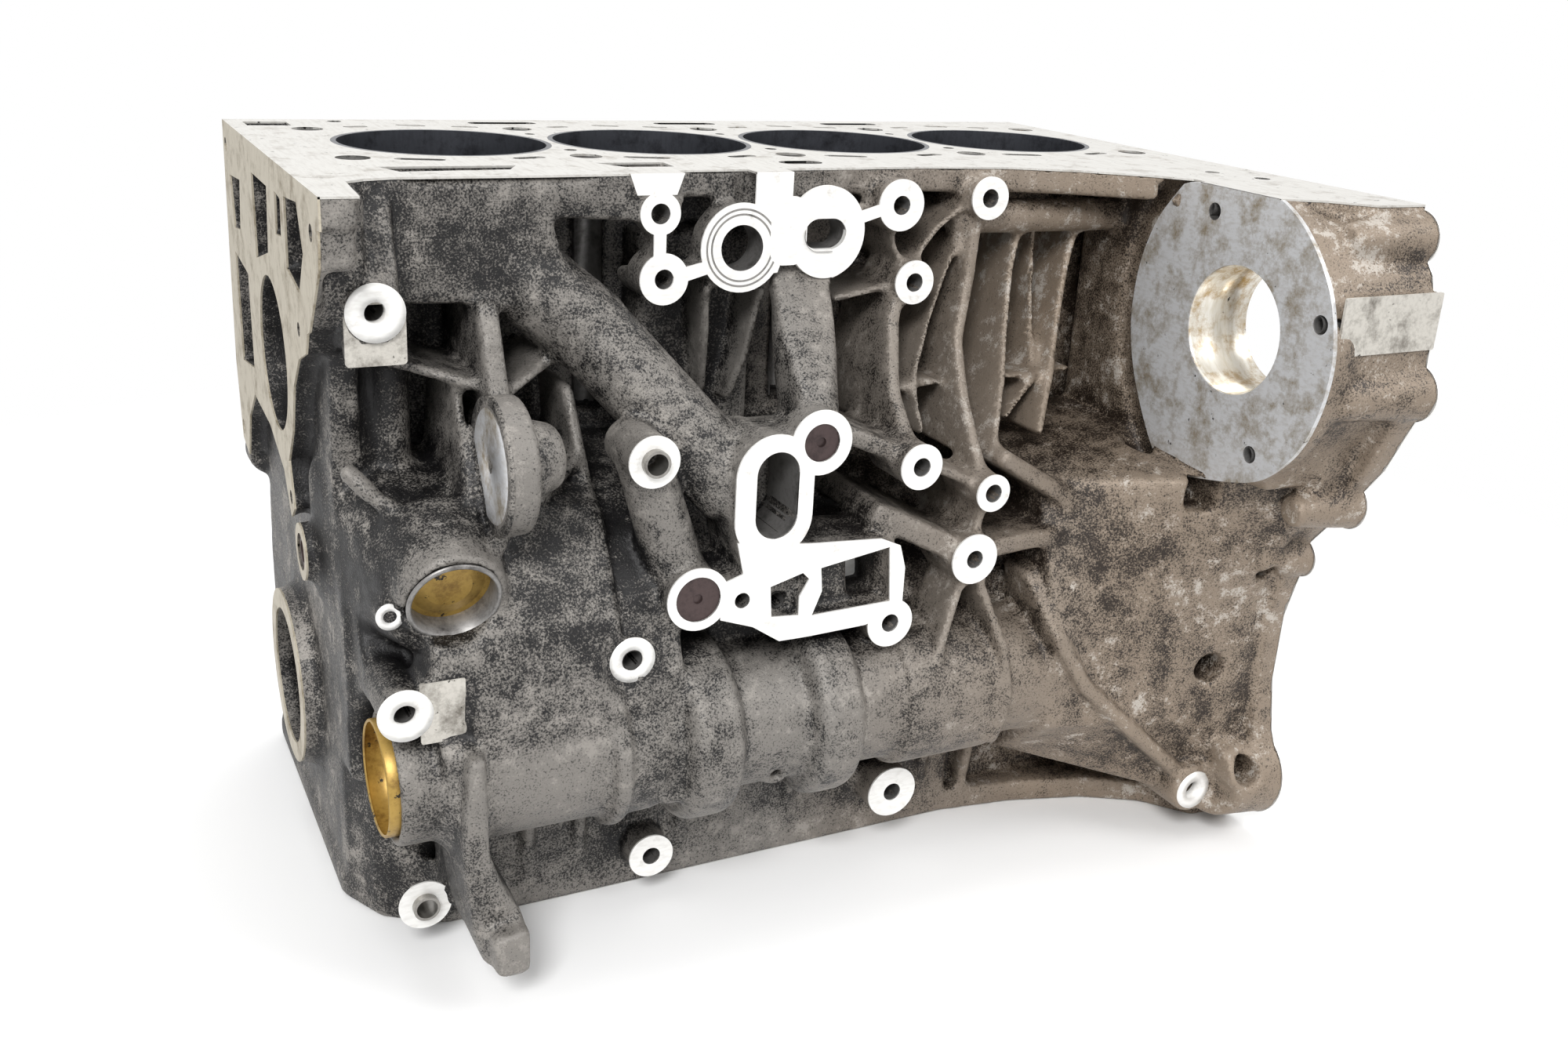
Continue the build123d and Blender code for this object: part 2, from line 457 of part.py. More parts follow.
def near_holes():
    """Bolt holes, ports and pockets of the near side."""
    cuts = [hole(x, z, M8_R, UPPER_FACE_Y, 24)
            for x, z in ((57.5, -15), (59.5, -40), (163, -14), (206, -12), (172, -46))]
    cuts += [hole(x, z, M8_R, LOWER_FACE_Y, 24)
             for x, z in ((30, -174), (-56.5, -180), (152, -109.5), (188, -124.5), (182, -153), (259, -155), (143, -176))]
    cuts += [hole(-54, -43, 4.2, -115, 24), hole(164, -271, 4.2, -125, 20), hole(50, -280, M8_R, -120, 20)]
    cuts += [hole(37.3, -96, SLEEVE_R, LOWER_FACE_Y, SLEEVE_DEPTH), hole(-46, -278, SLEEVE_R, -122, SLEEVE_DEPTH)]
    cuts += [hole(302, -275, 5, -170, 24), hole(-55, -149, 2.4, -130, 14), hole(75, -156, 3.2, LOWER_FACE_Y, 20)]
    cuts += [rod((92, -151, -235), (93, -138, -232), 2.6), hole(92, -29, 9, UPPER_FACE_Y, 34)]
    cuts += [near_prism(stadium(128.5, -25, 19, 13), UPPER_FACE_Y - 1, 30)]
    cuts += [near_prism(stadium(88, -114.5, 18, 35), LOWER_FACE_Y - 1, 30)]
    pocket = polygon((87, -152), (101, -148), (104, -151), (100, -158), (100, -166), (88, -165))
    window = polygon((109, -147), (140, -142), (142, -166), (106, -167), (110, -157))
    square = polygon((125, -147), (138, -146), (140, -164), (127, -165))
    cuts += [near_prism(shape, LOWER_FACE_Y - 1, depth) for shape, depth in ((pocket, 7), (window, 8), (square, 24))]
    cuts += [hole(93, -161, 3.3, LOWER_FACE_Y, 20)]
    cuts += [hole(x, z, r, LOWER_FACE_Y, GALLERY_DEPTH) for x, z, r in (GALLERY_UPPER, GALLERY_LOWER)]
    mouth, axis = Vector(*PORT_CENTRE), Vector(*PORT_AXIS).normalized()
    cuts += [rod(mouth + axis * 12, mouth - axis * PORT_PLUG_DEPTH, PORT_R)]
    cuts += [rod((302, -180, -214), (302, -140, -214), 7), rod((317, -200, -165), (317, -150, -165), 4)]
    cuts += [rod((318, -195, -262), (318, -150, -262), 6)]
    return cuts


def crankcase():
    """The casting: all walls, flanges, bosses and ribs, less the machined and cored spaces."""
    solid = jacket()[-1]
    added = (jacket()[:-1], deck(), skirt(), front_plate(), front_casing(), port_housing(), tensioner_disc(),
             balance_tunnel(), mount_lug(), rear_housing(), pump_flange(), upper_flange(), lower_flange(), ducts(), near_bosses(),
             ribs(), rail_ribs())
    for group in added:
        solid = solid.fuse(*group)
    tunnel = [tube(TUNNEL_START - 5, TUNNEL_END - 10, TUNNEL_BORE_R),
              tube(TUNNEL_START - 5, TUNNEL_START + PLUG_SEAT, TUNNEL_PLUG_R)]
    for group in (crank_space(), bore_cuts(), deck_holes(), front_ports(), timing_space(), near_holes(), tunnel):
        solid = solid.cut(*group)
    return solid


def liner(x):
    """Grey-iron cylinder liner, flush with the deck."""
    return drop(Pos(x, 0) * (Circle(BORE_R + LINER_WALL) - Circle(BORE_R)), 0, LINER_LENGTH)


def main_cap(x):
    """Bearing cap with chamfered shoulders, the lower half of the bearing seat and its two bolt holes."""
    bottom = CRANK_Z - CAP_H
    outline = [(-CAP_HALF, CRANK_Z), (-CAP_HALF, bottom + 14), (-CAP_HALF + 12, bottom), (CAP_HALF - 12, bottom),
               (CAP_HALF, bottom + 14), (CAP_HALF, CRANK_Z)]
    cap = cross_prism(outline, x - WEB_T / 2, x + WEB_T / 2)
    cuts = [rod((x - WEB_T, 0, CRANK_Z), (x + WEB_T, 0, CRANK_Z), MAIN_R)]
    cuts += [rod((x, side * CAP_BOLT_Y, bottom - 1), (x, side * CAP_BOLT_Y, CRANK_Z + 1), CAP_BOLT_R)
             for side in (-1, 1)]
    return cap.cut(*cuts)


def cap_bolts(x):
    """The two bolts of one bearing cap: shank with a flanged hexagon head."""
    bolts = []
    for y in (-CAP_BOLT_Y, CAP_BOLT_Y):
        seat = CRANK_Z - CAP_H
        shank = rod((x, y, seat - CAP_HEAD_H), (x, y, CRANK_Z + CAP_BOLT_GRIP), CAP_BOLT_R)
        head = drop(Pos(x, y) * RegularPolygon(CAP_HEAD_R, 6), seat - 2, CAP_HEAD_H - 2)
        collar = rod((x, y, seat), (x, y, seat - 2), CAP_HEAD_R)
        bolts.append(shank.fuse(head, collar))
    return Compound(children=bolts)


def tunnel_plug():
    """Pressed cup plug in the front end of the balance shaft tunnel."""
    cup = tube(TUNNEL_START - 1.5, TUNNEL_START + PLUG_SEAT, TUNNEL_PLUG_R)
    return cup.cut(tube(TUNNEL_START - 2, TUNNEL_START + PLUG_SEAT - PLUG_WALL, TUNNEL_PLUG_R - PLUG_WALL))


def coolant_plug():
    """Domed core plug at the bottom of the coolant port."""
    mouth, axis = Vector(*PORT_CENTRE), Vector(*PORT_AXIS).normalized()
    seat = mouth - axis * PORT_PLUG_DEPTH
    return rod(seat, seat + axis * 3, PORT_R).fuse(rod(seat + axis * 3, seat + axis * 4.5, PORT_R - 2, PORT_R - 7))


def gallery_plug(x, z, radius):
    """Sealing plug of an oil gallery, just under the machined face, with a centre dimple."""
    face_y = LOWER_FACE_Y + 0.8
    plug = rod((x, face_y, z), (x, LOWER_FACE_Y + GALLERY_DEPTH, z), radius)
    return plug.cut(rod((x, face_y - 1, z), (x, face_y + 1, z), 2))


def front_plug():
    """Sealing plug of the main oil gallery in the front wall."""
    y, z, radius = FRONT_PLUG
    plug = rod((FRONT_X + 0.8, y, z), (FRONT_X + FRONT_PLUG_DEPTH, y, z), radius)
    return plug.cut(rod((FRONT_X, y, z), (FRONT_X + 2, y, z), radius - 3))


def far_pin():
    """Steel locating pin that stands out of the far wall at the front end."""
    x, z = FAR_PIN
    return rod((x, FAR_Y - FAR_PIN_DEPTH, z), (x, FAR_Y + FAR_PIN_PROUD, z), FAR_PIN_R)


def dowel_sleeve(x, z, face_y):
    """Steel locating sleeve that stands a little proud of its boss."""
    body = rod((x, face_y - SLEEVE_PROUD, z), (x, face_y + SLEEVE_DEPTH, z), SLEEVE_R)
    return body.cut(rod((x, face_y - SLEEVE_PROUD - 1, z), (x, face_y + SLEEVE_DEPTH + 1, z), SLEEVE_R - SLEEVE_WALL))


def save(shape, name):
    """Write one node to its own file."""
    export_step(shape, f"parts/{name}.step")


os.makedirs("parts", exist_ok=True)
save(crankcase(), "crankcase")
for number, position in enumerate(bore_x, 1):
    save(liner(position), f"liner_{number}")
for number, position in enumerate(main_x, 1):
    save(main_cap(position), f"main_cap_{number}")
    save(cap_bolts(position), f"cap_bolts_{number}")
save(tunnel_plug(), "balance_tunnel_plug")
save(coolant_plug(), "coolant_core_plug")
save(gallery_plug(*GALLERY_UPPER), "upper_gallery_plug")
save(gallery_plug(*GALLERY_LOWER), "lower_gallery_plug")
save(front_plug(), "front_gallery_plug")
save(far_pin(), "far_locating_pin")
save(dowel_sleeve(37.3, -96, LOWER_FACE_Y), "upper_dowel_sleeve")
save(dowel_sleeve(-46, -278, -122), "lower_dowel_sleeve")
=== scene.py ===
import bpy
import numpy as np
import openvdb
from mathutils import Matrix, Vector
from mathutils.geometry import tessellate_polygon


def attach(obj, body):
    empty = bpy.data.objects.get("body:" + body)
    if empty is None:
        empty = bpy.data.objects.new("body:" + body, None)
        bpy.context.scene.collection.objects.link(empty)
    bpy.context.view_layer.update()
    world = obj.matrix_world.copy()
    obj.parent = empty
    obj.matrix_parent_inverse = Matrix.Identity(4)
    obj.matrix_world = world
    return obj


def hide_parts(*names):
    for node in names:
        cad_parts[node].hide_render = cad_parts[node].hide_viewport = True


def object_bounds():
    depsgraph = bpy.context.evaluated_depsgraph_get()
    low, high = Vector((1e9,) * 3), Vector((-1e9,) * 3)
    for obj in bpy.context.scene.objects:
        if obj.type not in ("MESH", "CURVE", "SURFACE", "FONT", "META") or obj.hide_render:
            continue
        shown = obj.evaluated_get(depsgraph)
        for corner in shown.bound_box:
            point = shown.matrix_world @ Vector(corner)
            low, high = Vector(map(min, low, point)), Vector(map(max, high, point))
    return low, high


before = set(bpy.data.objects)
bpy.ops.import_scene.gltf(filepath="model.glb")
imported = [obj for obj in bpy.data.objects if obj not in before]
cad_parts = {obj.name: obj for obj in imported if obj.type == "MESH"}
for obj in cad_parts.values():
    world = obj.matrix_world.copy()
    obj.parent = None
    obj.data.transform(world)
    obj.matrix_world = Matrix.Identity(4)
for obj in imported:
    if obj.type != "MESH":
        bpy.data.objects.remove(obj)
cad_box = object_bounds()
MM = 0.001

# The view: a camera low in front of the near front corner, as the block was photographed.
# The turn was solved from the four bore circles; its rows are right, down and forward.
view_turn = np.array([[0.89364, -0.44579, 0.05175],
                      [-0.11219, -0.33354, -0.93604],
                      [0.43454, 0.83067, -0.34808]])
view_place = (-0.16062, -0.62655, 0.07614)
camera_data = bpy.data.cameras.new("camera")
camera_data.sensor_width = 36
camera_data.lens = 34.606
camera_data.clip_start = 0.01
camera = bpy.data.objects.new("camera", camera_data)
bpy.context.scene.collection.objects.link(camera)
turn = Matrix((view_turn[0], -view_turn[1], -view_turn[2])).transposed().to_4x4()
camera.matrix_world = Matrix.Translation(view_place) @ turn
bpy.context.scene.camera = camera


# The casting's finish: sand-cast aluminium, near-black soot with painted shade in the hollows, grey grains
# rubbed bare between them and browner oxide towards the rear. Colours are sRGB hex, and patterns are sized
# in metres.
def linear(code):
    """Linear RGBA of an sRGB hex colour."""
    parts = [int(code[k:k + 2], 16) / 255 for k in (0, 2, 4)]
    return tuple(c / 12.92 if c <= 0.04045 else ((c + 0.055) / 1.055) ** 2.4 for c in parts) + (1.0,)


def new_material(name, colour, metal, rough):
    """A material with one principled shader, and its node tree."""
    material = bpy.data.materials.new(name)
    material.use_nodes = True
    tree = material.node_tree
    shader = tree.nodes["Principled BSDF"]
    shader.inputs["Base Color"].default_value = linear(colour)
    shader.inputs["Metallic"].default_value = metal
    shader.inputs["Roughness"].default_value = rough
    return material, tree, shader


def node(tree, kind, values, out=0, **settings):
    """Adds a node, sets or links its inputs, and gives one of its outputs. Hex text is a colour.

    A MapRange maps its input 0 from the span of inputs 1 and 2 to that of 3 and 4, or to 0 and 1.
    """
    made = tree.nodes.new("ShaderNode" + kind)
    for key, value in settings.items():
        setattr(made, key, value)
    for key, value in values.items():
        if isinstance(value, bpy.types.NodeSocket):
            tree.links.new(value, made.inputs[key])
        else:
            made.inputs[key].default_value = linear(value) if isinstance(value, str) else value
    return made.outputs[out]


def mottle(tree, size, detail, rough, stretch=(1, 1, 1)):
    """Noise on object coordinates whose largest blotches are about size metres."""
    place = node(tree, "TexCoord", {}, "Object")
    scaled = node(tree, "Mapping", {"Vector": place, "Scale": tuple(s / size for s in stretch)})
    return node(tree, "TexNoise", {"Vector": scaled, "Scale": 1.0, "Detail": detail,
                                   "Roughness": rough}, "Fac")


def coated(tree, base, *coats):
    """Base colour under its coats, each a (share, colour) pair laid over what lies below it."""
    for part, colour in coats:
        base = node(tree, "Mix", {0: part, 6: base, 7: colour}, 2, data_type="RGBA")
    return base


def weighted(tree, *terms):
    """Sum of sockets times weights."""
    total = 0.0
    for value, weight in terms:
        total = node(tree, "Math", {0: value, 1: weight, 2: total}, operation="MULTIPLY_ADD")
    return total


def finished(tree, shader, colour, height, depth):
    """Gives the shader its colour pattern, and a bump of the given depth in metres."""
    tree.links.new(colour, shader.inputs["Base Color"])
    normal = node(tree, "Bump", {"Height": height, "Distance": depth, "Strength": 1.0})
    tree.links.new(normal, shader.inputs["Normal"])


# The skin carries two point values: hollow, the share of metal round a point (for painted shade), and
# milled, a cut face.
# Sand grains are about 0.8 mm; soot lies in 8 mm blotches and 55 mm clouds.
cast, tree, shader = new_material("cast_aluminium", "5a5753", 0.3, 0.5)
along = node(tree, "SeparateXYZ", {"Vector": node(tree, "TexCoord", {}, "Object")}, "X")
rear = node(tree, "MapRange", {0: along, 1: 110 * MM, 2: 250 * MM})
front_end = node(tree, "MapRange", {0: along, 1: -20 * MM, 2: -62 * MM})
# The hollow share paints shade into recesses and a lighter tone onto convex edges.
hollow = node(tree, "Attribute", {}, "Fac", attribute_name="hollow")
cut_face = node(tree, "Attribute", {}, "Fac", attribute_name="milled")
grain = mottle(tree, 0.8 * MM, 2.0, 0.7)
blotch = mottle(tree, 8 * MM, 5.0, 0.72)
cloud = mottle(tree, 55 * MM, 3.0, 0.6)
# Random wear mottling, less the hollow share: recesses darken as painted shade, and convex edges lighten,
# part wear and part painted highlight.
wear_and_shade = weighted(tree, (cloud, 0.5), (blotch, 0.5), (grain, 0.75), (hollow, -0.3), (rear, 0.05),
                (front_end, -0.09))
# The near-black base shows where this is low: real soot, and the painted shade of the recesses.
soot = coated(tree, "111011", (rear, "281f18"))
grey = coated(tree, "7a7671", (rear, "87796a"))
rubbed = weighted(tree, (blotch, 0.7), (cloud, 0.4), (grain, 0.25))
pale = node(tree, "MapRange", {0: rubbed, 1: 0.74, 2: 0.82, 4: 0.8})
pale_rear = node(tree, "Math", {0: pale, 1: rear}, operation="MULTIPLY")
tone = coated(tree, soot, (node(tree, "MapRange", {0: wear_and_shade, 1: 0.82, 2: 0.98}), grey),
              (weighted(tree, (pale, 0.3), (pale_rear, 0.6)), "c4beb6"),
              (node(tree, "MapRange", {0: grain, 1: 0.36, 2: 0.28, 4: 0.7}), "101011"),
              (node(tree, "MapRange", {0: cut_face, 1: 0.3, 2: 0.7}), "d9d7d2"))
finished(tree, shader, tone, grain, 0.25 * MM)
roughness = node(tree, "MapRange", {0: blotch, 1: 0.35, 2: 0.65, 3: 0.4, 4: 0.62})
tree.links.new(roughness, shader.inputs["Roughness"])


def milled_metal(name, bright, stained, streaks, metal, rough, amount, residue=0.0):
    """Milled metal with cutter lines 1.6 mm apart, 14 mm stains and 5 mm spots of black residue."""
    material, tree, shader = new_material(name, bright, metal, rough)
    streak = mottle(tree, 1.6 * MM, 2.0, 0.6, streaks)
    stain = mottle(tree, 14 * MM, 6.0, 0.75)
    spread = node(tree, "MapRange", {0: stain, 1: 0.62 - 0.25 * amount, 2: 0.8 - 0.2 * amount})
    coats = [(spread, stained), (node(tree, "MapRange", {0: streak, 1: 0.45, 2: 0.7, 4: 0.25}), stained)]
    if residue:
        spots = mottle(tree, 5 * MM, 5.0, 0.7)
        held = node(tree, "MapRange", {0: spots, 1: 0.7 - 0.2 * residue, 2: 0.74 - 0.2 * residue})
        coats.append((held, "231e1a"))
    finished(tree, shader, coated(tree, bright, *coats), streak, 0.02 * MM)
    return material


boss_metal = milled_metal("milled_boss_faces", "f2f1ee", "b9b4ac", (0.3, 1, 1), 0.25, 0.42, 0.1)
deck_metal = milled_metal("milled_deck", "cbc9c4", "8d857a", (1, 0.12, 1), 0.4, 0.4, 0.35, 0.3)
front_metal = milled_metal("milled_front_flange", "b9b1a0", "75684f", (1, 1, 0.2), 0.3, 0.5, 0.5, 0.12)
pump_metal = milled_metal("milled_pump_flange", "d0d1d3", "8a7d67", (1, 0.4, 1), 0.35, 0.38, 0.62, 0.25)
bored = milled_metal("bored_aluminium", "8c8a88", "4a4745", (1, 1, 1), 0.6, 0.4, 0.5)
bore_metal = milled_metal("oiled_bore", "e6e3da", "a07d36", (1, 0.2, 0.2), 0.6, 0.25, 0.6, 0.2)
pad_metal = milled_metal("rough_pad", "c2beb6", "6f6a62", (1, 1, 1), 0.2, 0.6, 0.55, 0.3)


# The casting: sand-cast walls with soft edges, and crisp faces where it was milled or drilled.
# The cast skin is the node's distance field, smoothed; the milled faces and holes are its own triangles.
VOXEL = 1.2 * MM
CRISP_FADE = 2.4 * MM
SKIN_INSET = 0.15 * MM


def cad_arrays(name):
    """Merged vertices and triangles of a CAD node, in metres."""
    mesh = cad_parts[name].data
    points = np.empty(len(mesh.vertices) * 3, dtype=np.float32)
    mesh.vertices.foreach_get("co", points)
    mesh.calc_loop_triangles()
    corners = np.empty(len(mesh.loop_triangles) * 3, dtype=np.int32)
    mesh.loop_triangles.foreach_get("vertices", corners)
    places, index = np.unique(np.round(points.reshape(-1, 3), 6), axis=0, return_inverse=True)
    triangles = index.ravel()[corners].reshape(-1, 3)
    whole = (triangles != np.roll(triangles, 1, axis=1)).all(axis=1)
    return places, triangles[whole]


def normals_of(places, triangles):
    """Unit normals and areas of triangles."""
    a, b, c = (places[triangles[:, k]].astype(np.float64) for k in range(3))
    cross = np.cross(b - a, c - a)
    length = np.linalg.norm(cross, axis=1)
    return cross / np.maximum(length, 1e-20)[:, None], length / 2


def edge_pairs(triangles):
    """Pairs of triangles that share an edge."""
    edges = np.concatenate([triangles[:, [0, 1]], triangles[:, [1, 2]], triangles[:, [2, 0]]])
    owner = np.tile(np.arange(len(triangles)), 3)
    code = np.sort(edges, axis=1)
    code = code[:, 0].astype(np.int64) * (triangles.max() + 1) + code[:, 1]
    order = np.argsort(code, kind="stable")
    same = np.nonzero(code[order][1:] == code[order][:-1])[0]
    return owner[order[same]], owner[order[same + 1]]


def patches_of(count, first, second):
    """Label of the connected patch of each triangle, through the given pairs."""
    label = np.arange(count)
    while True:
        before = label.copy()
        low = np.minimum(label[first], label[second])
        np.minimum.at(label, first, low)
        np.minimum.at(label, second, low)
        label = label[label]
        if (label == before).all():
            return np.unique(label, return_inverse=True)[1].ravel()


def crisp_triangles(places, triangles, planes):
    """Mask of the milled faces on the given planes, with the hole walls that open on them, and without.

    Triangles that bend less than 30 degrees (cosine 0.87) make a patch. A hole wall is a patch that faces
    its own middle, is under 34 mm across, and is reached from a milled face in at most four steps.
    """
    normal, area = normals_of(places, triangles)
    first, second = edge_pairs(triangles)
    smooth = (normal[first] * normal[second]).sum(axis=1) > 0.87
    label = patches_of(len(triangles), first[smooth], second[smooth])
    centre = places[triangles].mean(axis=1)
    milled_face = np.zeros(len(triangles), dtype=bool)
    for axis, value, sign in planes:
        level = np.abs(places[triangles][:, :, axis] - value * MM).max(axis=1) < 0.02 * MM
        milled_face |= level & (normal[:, axis] * sign > 0.99)
    weight = np.bincount(label, area)
    middle = np.stack([np.bincount(label, area * centre[:, k]) for k in range(3)], axis=1) / weight[:, None]
    arm = centre - middle[label]
    inward = (arm * normal).sum(axis=1) / np.linalg.norm(arm + 1e-9, axis=1)
    hollow = np.bincount(label, area * inward) / weight < -0.25
    low = np.full((label.max() + 1, 3), 9.0)
    high = -low
    np.minimum.at(low, label, places[triangles].min(axis=1))
    np.maximum.at(high, label, places[triangles].max(axis=1))
    small = np.sort(high - low, axis=1)[:, 1] < 34 * MM
    chosen = np.zeros(label.max() + 1, dtype=bool)
    touching = milled_face.copy()
    for _ in range(4):
        beside = np.zeros_like(chosen)
        beside[label[first][touching[second]]] = True
        beside[label[second][touching[first]]] = True
        add = beside & hollow & small & ~chosen
        chosen |= add
        touching = chosen[label] & ~milled_face
    return milled_face | chosen[label], milled_face


def distance(places, triangles):
    """Signed distance grid of a mesh, in metres, four voxels to each side."""
    return openvdb.FloatGrid.createLevelSetFromPolygons(
        places.astype(np.float32), triangles=triangles.astype(np.uint32),
        transform=openvdb.createLinearTransform(voxelSize=VOXEL), halfWidth=4)


def dense(grid, low, shape):
    """Grid values in a numpy block."""
    block = np.empty(shape, dtype=np.float32)
    grid.copyToArray(block, ijk=low)
    return block


def softened(block):
    """Block after one binomial blur (1 4 6 4 1, over 16) along each axis."""
    for axis in range(3):
        wide = np.pad(block, [(2, 2) if k == axis else (0, 0) for k in range(3)], mode="edge")
        taps = [np.take(wide, np.arange(k, k + block.shape[axis]), axis=axis) for k in range(5)]
        block = (taps[0] + taps[4]) / 16 + (taps[1] + taps[3]) / 4 + taps[2] * 0.375
    return block


def mesh_object(name, places, triangles, quads, material, normals=None):
    """A smooth mesh object, with given point normals if there are any."""
    mesh = bpy.data.meshes.new(name)
    mesh.vertices.add(len(places))
    mesh.vertices.foreach_set("co", np.asarray(places, dtype=np.float32).ravel())
    sizes = np.concatenate([np.full(len(triangles), 3), np.full(len(quads), 4)])
    loops = np.concatenate([np.asarray(triangles).ravel(), np.asarray(quads).ravel()])
    mesh.loops.add(len(loops))
    mesh.loops.foreach_set("vertex_index", loops.astype(np.int32))
    mesh.polygons.add(len(sizes))
    mesh.polygons.foreach_set("loop_start", np.concatenate([[0], np.cumsum(sizes)[:-1]]).astype(np.int32))
    mesh.polygons.foreach_set("use_smooth", np.ones(len(sizes), dtype=bool))
    mesh.update()
    if normals is not None:
        mesh.normals_split_custom_set_from_vertices(normals.tolist())
    made = bpy.data.objects.new(name, mesh)
    bpy.context.scene.collection.objects.link(made)
    mesh.materials.append(material)
    return made


# Corrections that the cast skin gets over the solid, as seen in the photo, in millimetres.
# Each joins a simple form to the sharp field, or cuts it out, before the field is smoothed.
FIELD_MARGIN = 6


def block_of(low_corner, high_corner):
    """Slices of the grid between two corners in millimetres, and the coordinates in them."""
    first = np.maximum(np.floor(np.array(low_corner) * MM / VOXEL).astype(int) - np.array(low), 0)
    last = np.minimum(np.ceil(np.array(high_corner) * MM / VOXEL).astype(int) - np.array(low) + 1, shape)
    where = tuple(slice(a, b) for a, b in zip(first, last))
    axes = [(np.arange(a, b) + c) * VOXEL / MM for a, b, c in zip(first, last, low)]
    return where, np.meshgrid(*axes, indexing="ij")


def rod_distance(at, start, end, radius):
    """Distance to a flat-ended rod, in millimetres."""
    a, b = np.array(start, float), np.array(end, float)
    length = np.linalg.norm(b - a)
    axis = (b - a) / length
    along = sum((at[k] - a[k]) * axis[k] for k in range(3))
    across = np.sqrt(np.maximum(sum((at[k] - a[k]) ** 2 for k in range(3)) - along ** 2, 0))
    return np.maximum(across - radius, np.maximum(-along, along - length))


def add_rod(start, end, radius):
    """Joins a rod to the sharp field."""
    reach = radius + FIELD_MARGIN
    where, at = block_of(np.minimum(start, end) - reach, np.maximum(start, end) + reach)
    sharp[where] = np.minimum(sharp[where], rod_distance(at, start, end, radius) * MM)


def cut_rod(start, end, radius):
    """Cuts a rod out of the sharp field."""
    reach = radius + FIELD_MARGIN
    where, at = block_of(np.minimum(start, end) - reach, np.maximum(start, end) + reach)
    sharp[where] = np.maximum(sharp[where], -rod_distance(at, start, end, radius) * MM)


def cut_beyond(low_corner, high_corner, point, outward):
    """Within a box, cuts all that lies beyond the plane through a point."""
    where, at = block_of(low_corner, high_corner)
    facing = np.array(outward, float) / np.linalg.norm(outward)
    beyond = sum((at[k] - point[k]) * facing[k] for k in range(3))
    sharp[where] = np.maximum(sharp[where], beyond * MM)


def add_block(low_corner, high_corner):
    """Joins a square block to the sharp field."""
    where, at = block_of(np.array(low_corner) - FIELD_MARGIN, np.array(high_corner) + FIELD_MARGIN)
    middle = (np.array(low_corner) + high_corner) / 2
    half = (np.array(high_corner) - low_corner) / 2
    block = np.max([np.abs(at[k] - middle[k]) - half[k] for k in range(3)], axis=0)
    sharp[where] = np.minimum(sharp[where], block * MM)


def add_web(start, end, half_width):
    """Joins a thin upright rib to the sharp field, from its crest line up to 30 mm back to the wall."""
    a, b = np.array(start, float), np.array(end, float)
    where, at = block_of(np.minimum(a, b) - 8, np.maximum(a, b) + (8, 30, 8))
    run = np.array((b[0] - a[0], b[2] - a[2]))
    length = np.linalg.norm(run)
    run /= length
    along = (at[0] - a[0]) * run[0] + (at[2] - a[2]) * run[1]
    aside = np.abs((at[0] - a[0]) * run[1] - (at[2] - a[2]) * run[0])
    crest = a[1] + (b[1] - a[1]) * along / length
    web = np.max([aside - half_width, crest - at[1], -along - 1, along - length - 1], axis=0)
    sharp[where] = np.minimum(sharp[where], web * MM)


def rounded(points, times=2):
    """Closed outline with its corners cut off a few times, so that it runs smoothly."""
    points = np.array(points, float)
    for _ in range(times):
        after = np.roll(points, -1, axis=0)
        cut_corners = [0.75 * points + 0.25 * after, 0.25 * points + 0.75 * after]
        points = np.stack(cut_corners, axis=1).reshape(-1, 2)
    return points


def outline_distance(u, v, outline):
    """Signed distance to a closed outline, negative inside."""
    nearest = np.full(u.shape, 1e9)
    crossings = np.zeros(u.shape, dtype=int)
    for (u0, v0), (u1, v1) in zip(outline, np.roll(outline, -1, axis=0)):
        du, dv = u1 - u0, v1 - v0
        part = np.clip(((u - u0) * du + (v - v0) * dv) / (du * du + dv * dv + 1e-12), 0, 1)
        nearest = np.minimum(nearest, (u - u0 - part * du) ** 2 + (v - v0 - part * dv) ** 2)
        crossings += ((v0 > v) != (v1 > v)) & (u < u0 + (v - v0) * du / (dv if dv else 1e-12))
    return np.where(crossings % 2 == 1, -1, 1) * np.sqrt(nearest)


# The milled planes as (axis, level, side), and spots (x, y, z, reach) whose faces are made anew below.
# Then the pump flange's outline in (y, z), the pump bore's axis, the flange's holes (y, z, radius), and
# the axes of the tunnel and the riser's hole. All were read off the photo through the solved camera.
milled_planes = [(2, 0, 1), (0, -75, -1), (0, 336, 1), (1, -96, -1), (1, -145, -1), (0, 280, -1),
                 (0, -20, -1), (1, -115, -1), (1, -113.5, -1), (1, -148, -1), (1, -122, -1), (1, -120, -1),
                 (1, -125, -1)]
remade_faces = [(-54, -114, -46, 20), (-46, -148, -178, 26), (30, -145, -174, 14), (-20, -132, -96, 27),
                (-57.5, -134, -147.5, 9), (-36.5, -143, -141.5, 22)]
pump_outline = rounded([(-131.6, 0.6), (-124.7, -6.9), (-114.6, -19.5), (-107.9, -37.7), (-106.2, -55.5),
                        (-107.4, -69.4), (-112.5, -86.1), (-121.3, -101.9), (-130.7, -115.6), (-141, -125.5),
                        (-162, -121.8), (-183, -117), (-197, -112.6), (-209, -102.3), (-217.5, -91),
                        (-222.5, -77), (-224.6, -64), (-224.6, -53), (-222.4, -42.6), (-218.5, -31.5),
                        (-213, -23), (-206, -14.5), (-197, -6.4), (-186, -0.2), (-180, 0.6)])
pump_outline[:, 1] = np.minimum(pump_outline[:, 1], -0.2)
pump_y, pump_z = -170, -55.4
pump_holes = [(-149.5, -10.4, 3.6), (-215.6, -42.8, 3.8), (-190.4, -102.5, 3.6)]
tunnel_y, tunnel_z = -124, -216.5
riser_x, riser_z = 128.1, -23.8

places, triangles = cad_arrays("crankcase")
crisp, milled_face = crisp_triangles(places, triangles, milled_planes)
solid = distance(places, triangles)
sharp_faces = distance(places, triangles[crisp])
low, high = solid.evalActiveVoxelBoundingBox()
shape = tuple(h - l + 1 for l, h in zip(low, high))
sharp = dense(solid, low, shape)

